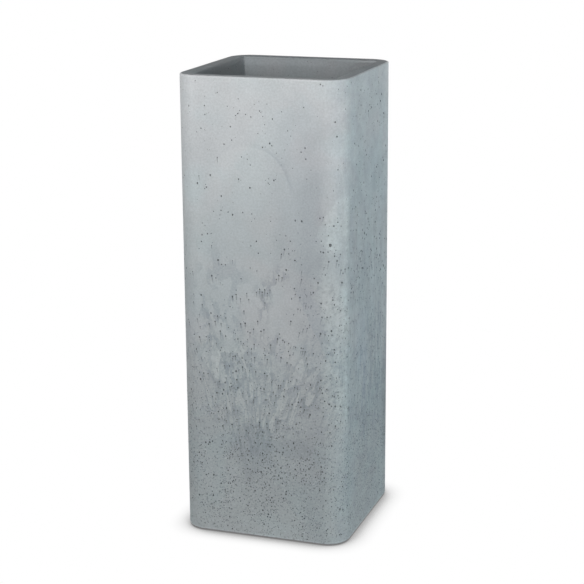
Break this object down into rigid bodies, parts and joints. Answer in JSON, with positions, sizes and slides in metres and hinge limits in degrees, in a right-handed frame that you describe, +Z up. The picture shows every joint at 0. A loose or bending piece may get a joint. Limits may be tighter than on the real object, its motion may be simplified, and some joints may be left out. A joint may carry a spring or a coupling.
{
  "type": "tall square planter",
  "caption": "Tall square floor planter with rounded corners, a turned-in rim and a lift-out planting insert with swinging handles.",
  "frame": {"origin": "on the ground, under the middle of the planter", "axes": "+Z up, -Y to the front face, +X to the right face"},
  "size_m": [0.258, 0.258, 0.7],
  "materials": {
    "shell": "matte",
    "insert": "matte",
    "grid": "matte",
    "wire": "satin",
    "plug": "matte",
    "foot_pad": "matte"
  },
  "bodies": {
    "shell_body": {"shell": "shell", "foot_front_left": "foot_pad", "foot_front_right": "foot_pad", "foot_back_left": "foot_pad", "foot_back_right": "foot_pad"},
    "insert_body": {"insert": "insert"},
    "handle_left_body": {"handle_left": "wire"},
    "handle_right_body": {"handle_right": "wire"},
    "grid_body": {"drain_grid": "grid"},
    "plug_body": {"drain_plug": "plug"}
  },
  "joints": [
    {"name": "insert_lift", "type": "slide", "parent": "shell_body", "child": "insert_body", "axis": [0, 0, 1], "range_m": [0, 0.31]},
    {"name": "handle_left_swing", "type": "hinge", "parent": "insert_body", "child": "handle_left_body", "pos_m": [-0.08383, 0, 0.632], "axis": [0, -1, 0], "range_deg": [0, 200]},
    {"name": "handle_right_swing", "type": "hinge", "parent": "insert_body", "child": "handle_right_body", "pos_m": [0.08383, 0, 0.632], "axis": [0, 1, 0], "range_deg": [0, 200]},
    {"name": "grid_lift", "type": "slide", "parent": "insert_body", "child": "grid_body", "axis": [0, 0, 1], "range_m": [0, 0.25]},
    {"name": "plug_pull", "type": "slide", "parent": "shell_body", "child": "plug_body", "axis": [0, 0, 1], "range_m": [0, 0.03]}
  ]
}
